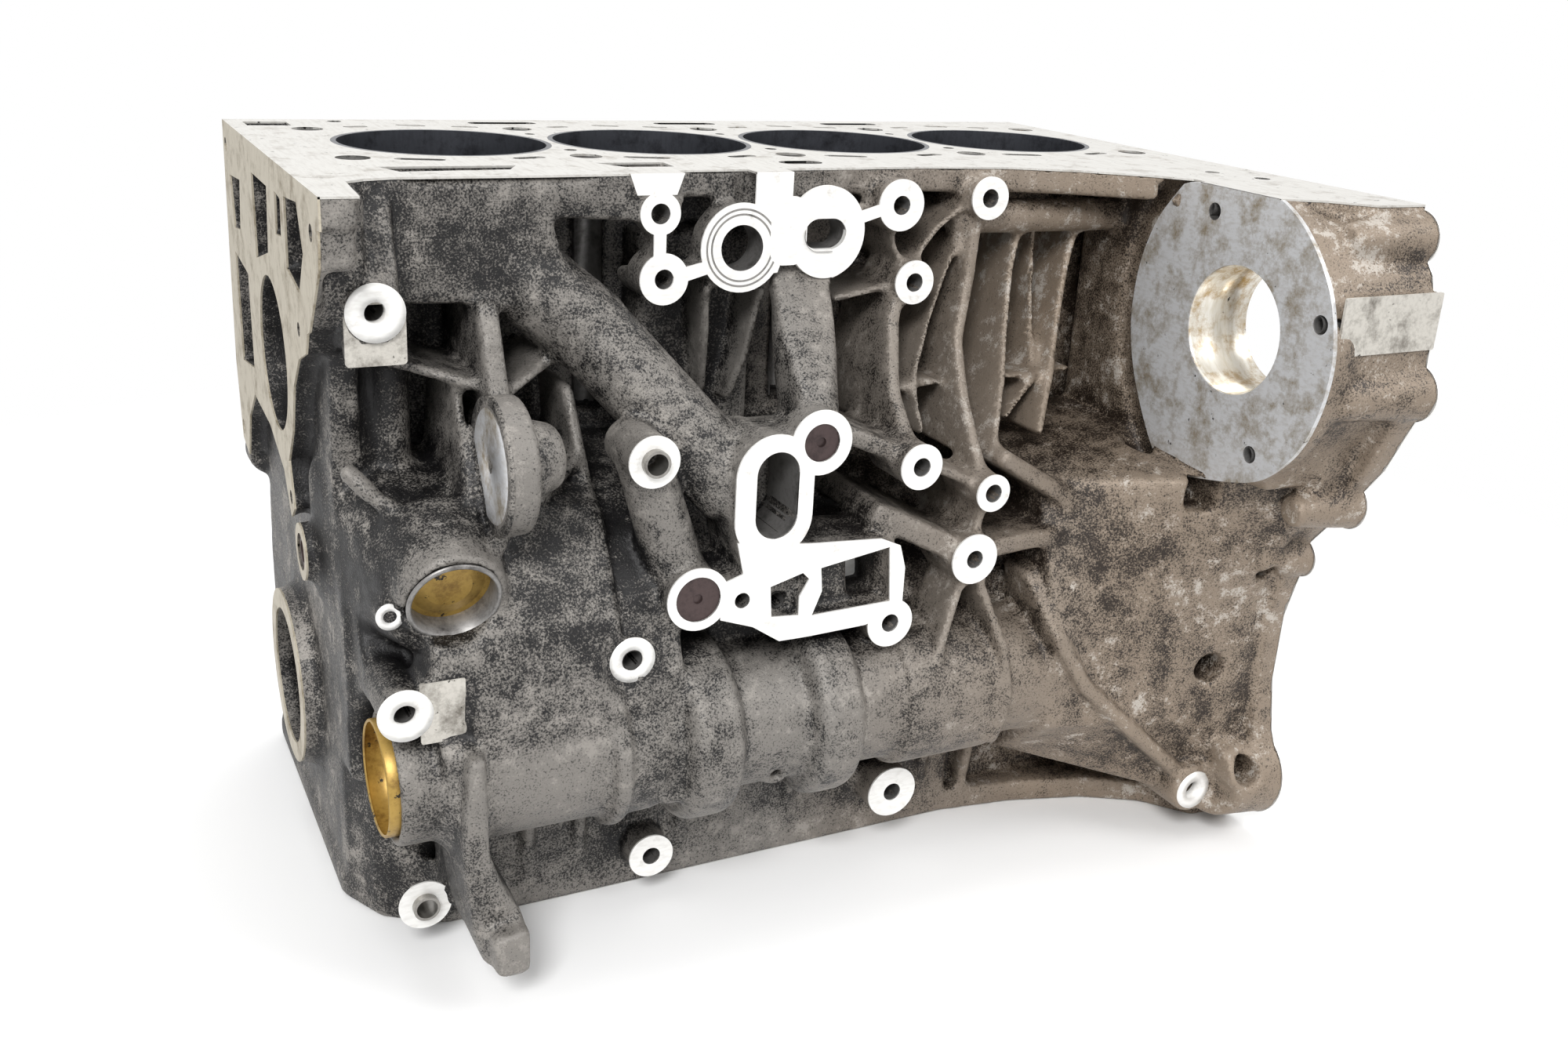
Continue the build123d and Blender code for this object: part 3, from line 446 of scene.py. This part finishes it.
# Room in front of the square pad by the tunnel and of the boss on its band, and the column's flat top.
cut_beyond((-76, -176, -193), (-33.5, -140, -140), (0, -148, 0), (0, -1, 0))
cut_rod((30, -175, -174), (30, -145, -174), 12)
cut_rod((30, -175, -174), (30, -150, -174), 17)
cut_beyond((95, -140, -74), (150, -90, 2), (0, -96, -43), (0, -1, 1))
cut_beyond((92, -140, -43), (150, -90, 2), (0, -96, -43), (0, -1, 0))

# The lower front corner is cast round, and the lug ends above the floor.
cut_beyond((-80, -130, -305), (-57, -60, -236), (-69, -70, 0), (-0.894, -0.447, 0))
cut_beyond((-80, -118, -305), (-40, -60, -250), (-58, -92, 0), (-0.555, -0.832, 0))
cut_beyond((-46, -180, -305), (-14, -130, -270), (0, 0, -284), (0, 0, -1))

# The front tube of the balance shaft tunnel is slimmer than the tunnel.
where, at = block_of((-66, -156, -250), (-43.5, -92, -190))
ring = np.hypot(at[1] - tunnel_y, at[2] - tunnel_z)
tube_only = (ring < 31.5) & (at[0] < -43.5)
sharp[where] = np.where(tube_only, np.maximum(sharp[where], (ring - 27) * MM), sharp[where])
add_rod((-60.5, tunnel_y, tunnel_z), (-44, tunnel_y, tunnel_z), 27)
cut_rod((-80, tunnel_y, tunnel_z), (-40, tunnel_y, tunnel_z), 22.4)

# Wall round the pump bore, the ridge over the port housing, and the small bosses at the port and the foot.
add_rod((292, pump_y, pump_z), (311, pump_y, pump_z), 31)
ridge = [(-66, -105, -100), (-56, -112, -111), (-39, -119, -124), (-28, -131, -138)]
for start, end in zip(ridge, ridge[1:]):
    add_rod(start, end, 4)
add_rod((-57.5, -134, -147.5), (-57.5, -100, -147.5), 5)
cut_rod((-57.5, -150, -147.5), (-57.5, -134, -147.5), 5.6)
cut_rod((301, -190, -275), (301, -170, -275), 11)
cut_rod((301, -190, -275), (301, -155, -275), 5)

# The recess between the coolant duct and the column is emptied down to a smooth back wall.
where, at = block_of((68, -130, -92), (103, -66, -50))
above_duct = (at[2] + 30.6 + 0.879 * (at[0] - 11.4) - 5) / 1.33
room = np.max([np.abs(at[0] - 85.5) - 17.5, np.abs(at[1] + 98) - 32, np.abs(at[2] + 71) - 21, -above_duct],
              axis=0)
sharp[where] = np.maximum(sharp[where], -room * MM)

# The bare pad, that back wall, the closed wall above the pan rail, and the band beside the tunnel boss.
add_block((284, -222.5, -54), (335.6, -206, -31.5))
add_block((60, -66, -112), (112, -50, -26))
add_block((-30, -106.6, -297), (206, -90, -240))
where, at = block_of((16, -162, -256), (31, -100, -178))
band = np.maximum(np.hypot(at[1] - tunnel_y, at[2] - tunnel_z) - 35, np.abs(at[0] - 23.5) - 3.4)
sharp[where] = np.minimum(sharp[where], band * MM)

# The boss under the deck with its square pad, the round port, and the two thin ribs of the recess.
cut_beyond((-70, -128, -66), (-41, -100, -28), (0, -113.5, 0), (0, -1, 0))
add_rod((-54, -115, -43), (-54, -106, -43), 10.4)
add_block((-64.5, -113.5, -62), (-43.5, -104, -44))
cut_rod((-54, -118, -43), (-54, -102, -43), 4.3)
cut_rod((-36.5, -143, -141.5), (-36.5, -130.8, -137.1), 15.8)
for crest in ([(81, -90, -42), (83, -86, -66), (85.6, -78, -92)],
              [(105, -90, -46), (102, -84, -75), (97, -78, -96)]):
    for start, end in zip(crest, crest[1:]):
        add_web(start, end, 2.2)

# The pump flange gets its own outline, bore and threaded holes, and the riser its oblong hole.
where, at = block_of((276, -240, -135), (292, -95, 3))
inside = outline_distance(at[1][0], at[2][0], pump_outline)[None]
disc = np.maximum(inside, np.maximum(280 - at[0], at[0] - 291))
round_disc = np.maximum(np.maximum(-inside, at[0] - 285.5), inside - 14)
sharp[where] = np.maximum(np.minimum(sharp[where], disc * MM), -round_disc * MM)
cut_rod((270, pump_y, pump_z), (320, pump_y, pump_z), 25.6)
cut_rod((270, pump_y, pump_z), (289, pump_y, pump_z), 27)
for y, z, _ in pump_holes:
    cut_rod((270, y, z), (295, y, z), 4.2)
for x in (riser_x - 4.1, riser_x, riser_x + 4.1):
    cut_rod((x, -110, riser_z), (x, -80, riser_z), 7)

# The smoothed field keeps its sharp values near milled faces, and its zero surface is the skin.
# The surface lies a little inside the solid, so that the crisp faces show.
soft = softened(softened(sharp))
nearness = np.abs(dense(sharp_faces, low, shape))
keep = np.clip(1.6 - nearness / CRISP_FADE, 0, 1)
field = soft + (sharp - soft) * keep + SKIN_INSET
skin = openvdb.FloatGrid(4 * VOXEL)
skin.copyFromArray(field, ijk=low)
skin.transform = solid.transform
skin.gridClass = openvdb.GridClass.LEVEL_SET
points, thirds, fourths = skin.convertToPolygons(isovalue=0.0, adaptivity=0.03)
gradient = [np.gradient(field, axis=k) for k in range(3)]
cell = np.clip(np.round(points / VOXEL - np.array(low)).astype(int), 0, np.array(shape) - 1)
facing = np.stack([g[cell[:, 0], cell[:, 1], cell[:, 2]] for g in gradient], axis=1)
facing = facing / np.maximum(np.linalg.norm(facing, axis=1), 1e-9)[:, None]


def finish_piece(made, *stands_for, slot="cast_aluminium"):
    """Puts a piece on the one body, and hides the nodes it stands for."""
    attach(made, "root")
    if stands_for:
        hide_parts(*stands_for)


def share_of_metal(blurs):
    """Share of metal round each skin point, less one half, after some blurs of a 3.6 mm grid."""
    coarse = np.clip(0.5 - field[::3, ::3, ::3] / (3 * VOXEL), 0, 1)
    for _ in range(blurs):
        coarse = softened(coarse)
    at = np.clip(np.round(cell / 3).astype(int), 0, np.array(coarse.shape) - 1)
    return coarse[at[:, 0], at[:, 1], at[:, 2]] - 0.5


# Hollows count at two sizes for the painted shade in recesses, and the underside of the pan rail is the
# milled part of the skin.
hollow_shade = share_of_metal(2) + 0.8 * share_of_metal(7)
milled_share = (points[:, 2] < -300.5 * MM) & (facing[:, 2] < -0.8)


def skin_piece(name, inside):
    """The part of the cast skin whose polygons lie inside a region."""
    three, four = (f[inside(points[f].mean(axis=1))] for f in (thirds, fourths))
    used = np.unique(np.concatenate([three.ravel(), four.ravel()]))
    index = np.zeros(len(points), dtype=np.int64)
    index[used] = np.arange(len(used))
    made = mesh_object(name, points[used], index[three][:, ::-1], index[four][:, ::-1], cast, facing[used])
    # The hollow value darkens recesses as painted shade in the cast material.
    for label, values in (("hollow", hollow_shade), ("milled", milled_share)):
        carried = made.data.attributes.new(label, "FLOAT", "POINT")
        carried.data.foreach_set("value", values[used].astype(np.float32))
    finish_piece(made, "crankcase")


for name, near, x0, x1 in (("cast_skin_front", True, -80, 60), ("cast_skin_middle", True, 60, 190),
                           ("cast_skin_rear", True, 190, 340), ("cast_skin_far", False, -80, 130),
                           ("cast_skin_far_rear", False, 130, 340)):
    skin_piece(name, lambda m: ((m[:, 1] < -60 * MM) == near) & (m[:, 0] >= x0 * MM) & (m[:, 0] < x1 * MM))


# The milled faces keep the solid's own crisp triangles, each with a short lip over the cast edge.
# They are split by where they were cut: deck, front flange, boss faces and drilled holes.
LIP = 0.8 * MM


def lip_quads(chosen):
    """Quads that carry the open edges of flat faces a little way down the walls."""
    normal, _ = normals_of(places, triangles[chosen])
    edges = triangles[chosen][:, [[0, 1], [1, 2], [2, 0]]].reshape(-1, 2)
    facing_edge = np.repeat(normal, 3, axis=0)
    code = np.sort(edges, axis=1) @ np.array([len(places), 1])
    milled = triangles[milled_face]
    all_edges = np.sort(milled[:, [[0, 1], [1, 2], [2, 0]]].reshape(-1, 2), axis=1)
    values, count = np.unique(all_edges @ np.array([len(places), 1]), return_counts=True)
    lone = np.nonzero(np.isin(code, values[count == 1]))[0]
    a, b, down = edges[lone, 0], edges[lone, 1], facing_edge[lone] * LIP
    return places[a], places[b], places[b] - down, places[a] - down


def crisp_piece(name, chosen, material, lips):
    """A mesh object of the chosen triangles of the solid."""
    used = np.unique(triangles[chosen])
    index = np.zeros(len(places), dtype=np.int64)
    index[used] = np.arange(len(used))
    verts = [places[used]]
    quads = np.zeros((0, 4), dtype=int)
    if lips:
        corners = lip_quads(chosen)
        count = len(corners[0])
        verts += list(corners)
        quads = len(used) + np.arange(count)[:, None] + count * np.array([1, 0, 3, 2])
    made = mesh_object(name, np.concatenate(verts), index[triangles[chosen]], quads, material)
    made.data.polygons.foreach_set("use_smooth", np.full(len(made.data.polygons), not lips))
    finish_piece(made, "crankcase")


centre = places[triangles].mean(axis=1)
normal, _ = normals_of(places, triangles)
deck = milled_face & (normal[:, 2] > 0.9)
front = milled_face & (normal[:, 0] < -0.9) & (centre[:, 0] < -70 * MM)
pump = milled_face & (normal[:, 0] < -0.9) & (centre[:, 0] > 200 * MM)
other = milled_face & ~deck & ~front & ~pump
for x, y, z, reach in remade_faces:
    other &= np.linalg.norm(centre / MM - (x, y, z), axis=1) > reach
for name, chosen, material, lips in (("deck_face", deck, deck_metal, True),
                                     ("front_flange_face", front, front_metal, True),
                                     ("boss_faces", other, boss_metal, True),
                                     ("drilled_holes", crisp & ~milled_face, bored, False)):
    crisp_piece(name, chosen, material, lips)


# Machined faces that are finer in the photo than in the solid: ring faces of bosses, flat dark rings painted
# as the seal grooves' shade, the tensioner's disc, the round port's wall and the pump's bore. Each is a
# turned form on its own axis.
def lathe(name, centre_mm, axis, profile, material, sides=72, *stands_for, slot="cast_aluminium"):
    """Surface of revolution: profile points are (distance along the axis, radius), in millimetres.

    point = centre + axis * along + radius * (u * cos t + v * sin t)
    Its faces look along the axis where the radius grows. A last radius of 0 closes it with a fan.
    """
    axis = np.array(axis, float) / np.linalg.norm(axis)
    u = np.cross(axis, (0, 0, 1) if abs(axis[2]) < 0.9 else (1, 0, 0))
    u = u / np.linalg.norm(u)
    v = np.cross(axis, u)
    t = np.linspace(0, 2 * np.pi, sides, endpoint=False)
    along, radius = np.array(profile, float).T
    grid = (np.array(centre_mm, float) + along[:, None, None] * axis
            + radius[:, None, None] * (np.cos(t)[:, None] * u + np.sin(t)[:, None] * v))
    closed = int(radius[-1] == 0)
    rows = np.arange(len(profile) - 1 - closed)[:, None] * sides
    column = np.arange(sides)
    after = (column + 1) % sides
    quads = np.stack([rows + column, rows + sides + column, rows + sides + after, rows + after], axis=2)
    quads = quads.reshape(-1, 4)
    spots = grid.reshape(-1, 3) * MM
    fan = np.zeros((0, 3), dtype=int)
    if closed:
        last = (len(profile) - 2) * sides
        spots = spots[:last + sides + 1]
        fan = np.stack([last + column, np.full(sides, last + sides), last + after], axis=1)
    made = mesh_object(name, spots, fan, quads, material)
    finish_piece(made, *stands_for, slot=slot)


# Two flat darker rings with no depth, painted for the shade in the seal grooves.
groove_shade = milled_metal("painted_groove_shade", "8f8d8a", "3d3b39", (1, 1, 1), 0.5, 0.45, 0.4)
for radius in (12.6, 14.6):
    lathe("painted_groove_ring_%d" % radius, (92, -96.05, -29), (0, -1, 0), ((0, radius), (0, radius + 0.8)),
          groove_shade)
for name, x, y, z, hole_r, face_r in (("front_boss_face", -56.5, -148.2, -180, 4.25, 10),
                                      ("band_boss_face", 30, -145, -174, 4.25, 9.2),
                                      ("port_boss_face", -57.5, -134, -147.5, 2.4, 5),
                                      ("foot_boss_face", 301, -170, -275, 4.6, 9.4),
                                      ("deck_boss_face", -54, -115, -43, 3.9, 10.4)):
    ring_face = ((-6, hole_r), (0, hole_r), (0, face_r), (-LIP / MM, face_r))
    lathe(name, (x, y - 0.05, z), (0, -1, 0), ring_face, boss_metal)
lathe("tensioner_face", (-20.05, -132, -96), (-1, 0, 0), ((-4, 2.4), (0, 2.6), (0, 20.5), (-0.6, 21.5)),
      pump_metal)
lathe("tensioner_rim", (-20.0, -132, -96), (-1, 0, 0),
      ((-0.4, 21.5), (0, 22.5), (0, 25.2), (-1.4, 25.6)), cast)
lathe("port_wall", (-36.5, -143, -141.5), (0, -0.94, -0.34),
      ((-13, 15.5), (-0.3, 15.5), (0, 15.9), (0, 16.9), (-1, 17.2)), bored)
for y, z, radius in pump_holes:
    thread = [(0.6 * k, radius - 0.35 * (k % 2)) for k in range(24)] + [(14, 0)]
    lathe("pump_thread_%d" % -z, (280, y, z), (1, 0, 0), thread, bored, 24)
lathe("pump_bore_wall", (280.3, pump_y, pump_z), (1, 0, 0),
      ((0, 26.5), (0.6, 25.8), (8, 25.8), (8.4, 25.0), (30.5, 25.0)), bore_metal)


# Flat milled pads and flanges with an outline of their own: the bare pad at the rear, the square pads
# beside two bosses, the riser's flange and the pump flange.
def plate(name, normal, level, outline, holes, material, depth=1.2):
    """Flat face with holes and short walls round all its edges, facing along the normal.

    The holes run the other way round from the outline, so that all the walls face outwards.
    """
    loops = [np.array(outline)] + [np.array(hole) for hole in holes]
    flat = [[Vector((u, v, 0)) for u, v in loop] for loop in loops]
    triangles = np.array(tessellate_polygon(flat))
    uv = np.concatenate(loops)
    axis = int(np.argmax(np.abs(normal)))
    spots = np.insert(uv, axis, level, axis=1)
    a, b, c = (spots[triangles[:, k]] for k in range(3))
    turned = (np.cross(b - a, c - a) @ normal) < 0
    triangles[turned] = triangles[turned][:, ::-1]
    start = 0
    quads = []
    for loop in loops:
        index = start + np.arange(len(loop))
        after = np.roll(index, -1)
        quads.append(np.stack([index, index + len(uv), after + len(uv), after], axis=1))
        start += len(loop)
    spots = np.concatenate([spots, spots - np.array(normal) * depth])
    made = mesh_object(name, spots * MM, triangles, np.concatenate(quads), material)
    made.data.polygons.foreach_set("use_smooth", np.zeros(len(made.data.polygons), dtype=bool))
    finish_piece(made)


def oval(u, v, half_u, half_v, corner=None, sides=64):
    """Ellipse, or a rectangle with round corners of the given radius."""
    t = np.linspace(0, 2 * np.pi, sides, endpoint=False)
    if corner is None:
        return np.stack([u + half_u * np.cos(t), v + half_v * np.sin(t)], axis=1)
    return np.stack([u + np.sign(np.cos(t)) * (half_u - corner) + corner * np.cos(t),
                     v + np.sign(np.sin(t)) * (half_v - corner) + corner * np.sin(t)], axis=1)


near_side = np.array((0.0, -1.0, 0.0))
riser_hole = oval(riser_x, riser_z, 9.7, 6.8, 6.7)[::-1]
plate("bare_pad", near_side, -222.9, oval(309.8, -42.7, 25.8, 11.4, 0.8), [], pad_metal)
plate("front_pad_face", near_side, -148.1, oval(-43, -180.5, 8.2, 12, 0.8), [], pad_metal)
plate("deck_pad_face", near_side, -113.6, oval(-54, -51, 10.6, 10.8, 1.5),
      [oval(-54, -43, 4, 4)[::-1]], pad_metal)
plate("riser_boss_face", near_side, -96.1, oval(129, -24, 17.2, 18.4), [riser_hole], boss_metal, 2.5)
plate("riser_neck_face", near_side, -96.08, oval(112, -23, 8, 13.5, 6), [], boss_metal)
plate("pump_flange_face", np.array((-1.0, 0.0, 0.0)), 279.9, pump_outline,
      [oval(pump_y, pump_z, 26.5, 26.5)] + [oval(y, z, r, r) for y, z, r in pump_holes], pump_metal, 2.0)


# The other pieces: iron liners and caps, steel bolts, and the plugs and sleeves in the near side.
# The liners are honed dark iron, the core plugs yellow zinc, the gallery plugs oiled black-brown.
iron = milled_metal("liner_iron", "4c4e54", "2a2a2e", (1, 1, 0.3), 0.7, 0.34, 0.5)
cap_iron = milled_metal("cap_iron", "6a6866", "3c3a38", (1, 1, 1), 0.6, 0.5, 0.5)
bolt_steel = milled_metal("bolt_steel", "3b3a3a", "242424", (1, 1, 1), 0.7, 0.42, 0.4)
yellow = milled_metal("yellow_zinc", "a98a45", "64451c", (1, 1, 1), 0.45, 0.4, 0.4, 0.4)
dark_plug = milled_metal("dark_plug", "4a3d3c", "2c2323", (1, 1, 1), 0.5, 0.4, 0.4)
sleeve = milled_metal("sleeve_steel", "9c9994", "57534e", (1, 1, 1), 0.8, 0.3, 0.3)
finishes = {"liner": iron, "main_cap": cap_iron, "cap_bolts": bolt_steel, "balance_tunnel_plug": yellow,
            "coolant_core_plug": yellow, "upper_gallery_plug": dark_plug, "lower_gallery_plug": dark_plug,
            "front_gallery_plug": dark_plug, "far_locating_pin": dark_plug, "upper_dowel": sleeve,
            "lower_dowel": sleeve}
for name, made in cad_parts.items():
    for start, material in finishes.items():
        if name.startswith(start):
            made.data.materials.clear()
            made.data.materials.append(material)
cup = ((0, 21.2), (-0.6, 21.8), (0, 22.4), (9, 22.4), (10, 21.4), (10, 0))
lathe("tunnel_cup_plug", (-62.8, tunnel_y, tunnel_z), (1, 0, 0), cup, yellow, 96, "balance_tunnel_plug",
      slot="yellow_plug")


# Studio: a pale paper floor at the pan rail, soft lamps, and a white background that the camera and
# mirrors see. The floor clears from 0.3 m to 0.75 m round the block, so that only its shadow shows.
floor_z = float(cad_box[0][2])
mesh = bpy.data.meshes.new("floor")
half = 6
corners = [(-half, -half, floor_z), (half, -half, floor_z), (half, half, floor_z), (-half, half, floor_z)]
mesh.from_pydata(corners, [], [(0, 1, 2, 3)])
floor = bpy.data.objects.new("floor", mesh)
bpy.context.scene.collection.objects.link(floor)
paper, tree, shader = new_material("paper_floor", "f4f4f4", 0.0, 0.9)
shifted = node(tree, "Mapping", {"Vector": node(tree, "TexCoord", {}, "Object"),
                                 "Location": (-0.13, 0.0, 0.0)})
level = node(tree, "VectorMath", {0: shifted, 1: (1, 1, 0)}, operation="MULTIPLY")
away = node(tree, "VectorMath", {0: level}, "Value", operation="LENGTH")
clear = node(tree, "MapRange", {0: away, 1: 0.3, 2: 0.75})
fading = node(tree, "MixShader", {0: clear, 1: shader.outputs[0], 2: node(tree, "BsdfTransparent", {})})
tree.links.new(fading, tree.nodes["Material Output"].inputs["Surface"])
mesh.materials.append(paper)
world = bpy.data.worlds.new("studio")
bpy.context.scene.world = world
world.use_nodes = True
tree = world.node_tree
soft_light = tree.nodes["Background"]
soft_light.inputs["Color"].default_value = (1, 1, 1, 1)
soft_light.inputs["Strength"].default_value = 0.62
seen = 0.0
for ray in ("Is Camera Ray", "Is Transmission Ray", "Is Glossy Ray"):
    seen = node(tree, "Math", {0: seen, 1: node(tree, "LightPath", {}, ray)}, operation="MAXIMUM")
white = node(tree, "Background", {"Color": (1, 1, 1, 1), "Strength": 1.0})
both = node(tree, "MixShader", {0: seen, 1: soft_light.outputs[0], 2: white})
tree.links.new(both, tree.nodes["World Output"].inputs["Surface"])
for place, power, size in (((-0.9, -1.5, 1.3), 38, 0.7), ((1.6, -1.3, 1.2), 18, 1.0),
                           ((0.2, 0.6, 1.8), 17, 1.4)):
    lamp_data = bpy.data.lights.new("lamp", "AREA")
    lamp_data.energy = power
    lamp_data.size = size
    lamp = bpy.data.objects.new("lamp", lamp_data)
    lamp.location = place
    aim = Vector((0.13, -0.05, -0.15)) - Vector(place)
    lamp.rotation_euler = aim.to_track_quat("-Z", "Y").to_euler()
    bpy.context.scene.collection.objects.link(lamp)
bpy.context.scene.view_settings.view_transform = "Standard"
